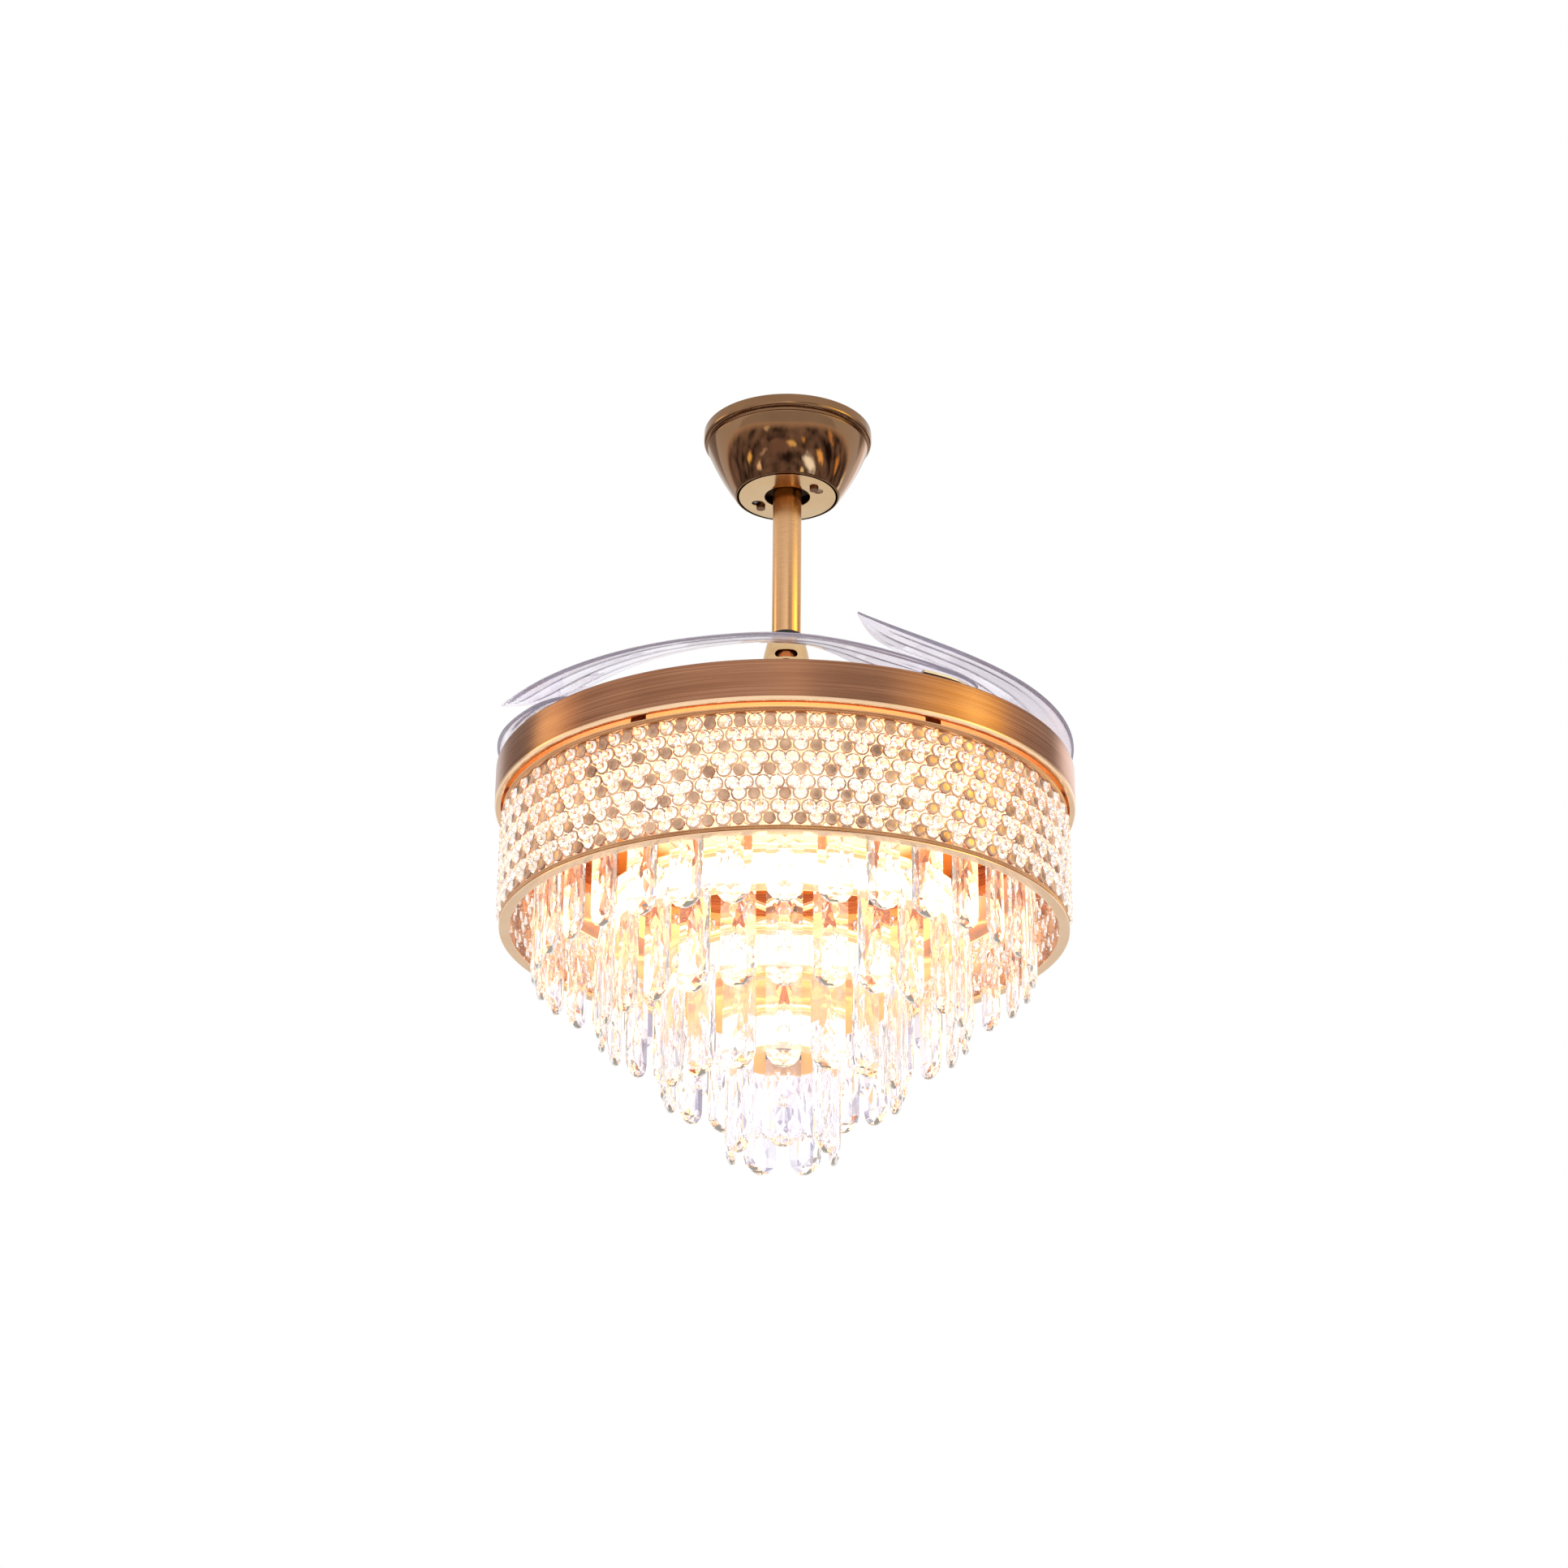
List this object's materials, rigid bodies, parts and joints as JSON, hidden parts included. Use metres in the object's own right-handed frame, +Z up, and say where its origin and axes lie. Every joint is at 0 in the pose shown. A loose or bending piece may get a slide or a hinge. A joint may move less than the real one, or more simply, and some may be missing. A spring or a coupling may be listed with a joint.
{
  "type": "retractable blade ceiling fan",
  "caption": "Ceiling fan on a downrod with fold-out clear blades over a brushed band, above a beaded drum light with tiers of hanging crystals.",
  "frame": {"origin": "middle of the ceiling bracket's flat top face, on the fan's axis", "axes": "+Z up through the ceiling face; the fan hangs towards -Z; -Y is the side seen in the picture; the ceiling bolts lie along X"},
  "size_m": [0.5, 0.5, 0.6828],
  "materials": {
    "zinc_steel": "zinc plated",
    "bronze_screw": "satin",
    "ivory_plastic": "matte",
    "polished_bronze": "polished",
    "nylon": "matte",
    "satin_gold": "satin",
    "black_rubber": "matte",
    "copper_plate": "satin",
    "iron_laminate": "matte",
    "copper_wire": "enamelled",
    "pan_gold": "satin",
    "brushed_rose_gold": "brushed round the ring",
    "dark_gold": "satin",
    "trim_gold": "satin",
    "lattice_gold": "satin",
    "bead_glass": "cut and clear",
    "mirror_gold": "polished",
    "led_diffuser": "lit diffuser",
    "crystal_glass": "cut and clear",
    "white_plastic": "matte",
    "blue_lead": "glossy",
    "cast_aluminium": "cast",
    "arm_gold": "satin",
    "clear_acrylic": "clear and glossy"
  },
  "bodies": {
    "mount": {"hanger_bracket": "zinc_steel", "canopy_screws": "bronze_screw", "terminal_block": "ivory_plastic"},
    "canopy": {"canopy": "polished_bronze"},
    "seat_ring": {"ball_seat_ring": "nylon"},
    "fixture": {"hanger_ball": "zinc_steel", "ball_pin": "zinc_steel", "downrod": "satin_gold", "rod_collar": "black_rubber", "coupling_cover": "satin_gold", "coupling_yoke": "copper_plate", "yoke_pin": "copper_plate", "motor_shaft": "zinc_steel", "stator_core": "iron_laminate", "stator_coils": "copper_wire", "driver_pan": "pan_gold", "band_ring": "brushed_rose_gold", "shaft_nut": "zinc_steel", "drum_hangers": "dark_gold", "drum_top_rim": "trim_gold", "drum_lattice": "lattice_gold", "drum_bottom_rim": "trim_gold", "lattice_beads": "bead_glass", "lattice_trefoils": "bead_glass", "light_stem": "trim_gold", "stem_nut": "trim_gold", "tier_frame_1": "mirror_gold", "tier_frame_2": "mirror_gold", "tier_frame_3": "mirror_gold", "tier_frame_4": "mirror_gold", "led_strips": "led_diffuser", "crystals_tier_1": "crystal_glass", "crystals_tier_2": "crystal_glass", "crystals_tier_3": "crystal_glass", "crystals_tier_4": "crystal_glass", "link_beads": "bead_glass", "link_pins": "trim_gold", "led_driver": "white_plastic", "receiver_box": "white_plastic", "led_leads": "blue_lead"},
    "rotor": {"rotor_upper_shell": "cast_aluminium", "rotor_lower_shell": "cast_aluminium", "rotor_bearings": "zinc_steel", "magnet_ring": "iron_laminate", "rotor_screws": "zinc_steel", "blade_carrier": "dark_gold", "gear_retainer": "dark_gold", "pivot_studs": "zinc_steel", "return_springs": "zinc_steel"},
    "sync_gear": {"sync_gear": "nylon"},
    "blade_1": {"blade_arm_1": "arm_gold", "blade_1": "clear_acrylic"},
    "blade_2": {"blade_arm_2": "arm_gold", "blade_2": "clear_acrylic"},
    "blade_3": {"blade_arm_3": "arm_gold", "blade_3": "clear_acrylic"},
    "blade_4": {"blade_arm_4": "arm_gold", "blade_4": "clear_acrylic"}
  },
  "joints": [
    {"name": "canopy_twist", "type": "hinge", "parent": "mount", "child": "canopy", "pos_m": [0, 0, -0.0634], "axis": [0, 0, 1], "range_deg": [-14, 0]},
    {"name": "hang_tilt_x", "type": "hinge", "parent": "mount", "child": "seat_ring", "pos_m": [0, 0, -0.032], "axis": [1, 0, 0], "range_deg": [-7, 7]},
    {"name": "hang_tilt_y", "type": "hinge", "parent": "seat_ring", "child": "fixture", "pos_m": [0, 0, -0.032], "axis": [0, 1, 0], "range_deg": [-7, 7]},
    {"name": "rotor_spin", "type": "hinge", "parent": "fixture", "child": "rotor", "pos_m": [0, 0, -0.312], "axis": [0, 0, 1], "continuous": true},
    {"name": "sync_turn", "type": "hinge", "parent": "rotor", "child": "sync_gear", "pos_m": [0, 0, -0.3397], "axis": [0, 0, 1], "range_deg": [-35, 0]},
    {"name": "blade_1_fold", "type": "hinge", "parent": "rotor", "child": "blade_1", "pos_m": [0.11319, -0.13347, -0.338], "axis": [0, 0, 1], "range_deg": [0, 140], "stiffness_Nm_per_rad": 0.06, "springref_deg": -20.05},
    {"name": "blade_2_fold", "type": "hinge", "parent": "rotor", "child": "blade_2", "pos_m": [0.13347, 0.11319, -0.338], "axis": [0, 0, 1], "range_deg": [0, 140], "stiffness_Nm_per_rad": 0.06, "springref_deg": -20.05},
    {"name": "blade_3_fold", "type": "hinge", "parent": "rotor", "child": "blade_3", "pos_m": [-0.11319, 0.13347, -0.338], "axis": [0, 0, 1], "range_deg": [0, 140], "stiffness_Nm_per_rad": 0.06, "springref_deg": -20.05},
    {"name": "blade_4_fold", "type": "hinge", "parent": "rotor", "child": "blade_4", "pos_m": [-0.13347, -0.11319, -0.338], "axis": [0, 0, 1], "range_deg": [0, 140], "stiffness_Nm_per_rad": 0.06, "springref_deg": -20.05}
  ],
  "couplings": [
    {"joint": "sync_turn", "follows": "blade_1_fold", "ratio": -0.25},
    {"joint": "blade_2_fold", "follows": "blade_1_fold", "ratio": 1},
    {"joint": "blade_3_fold", "follows": "blade_1_fold", "ratio": 1},
    {"joint": "blade_4_fold", "follows": "blade_1_fold", "ratio": 1}
  ]
}
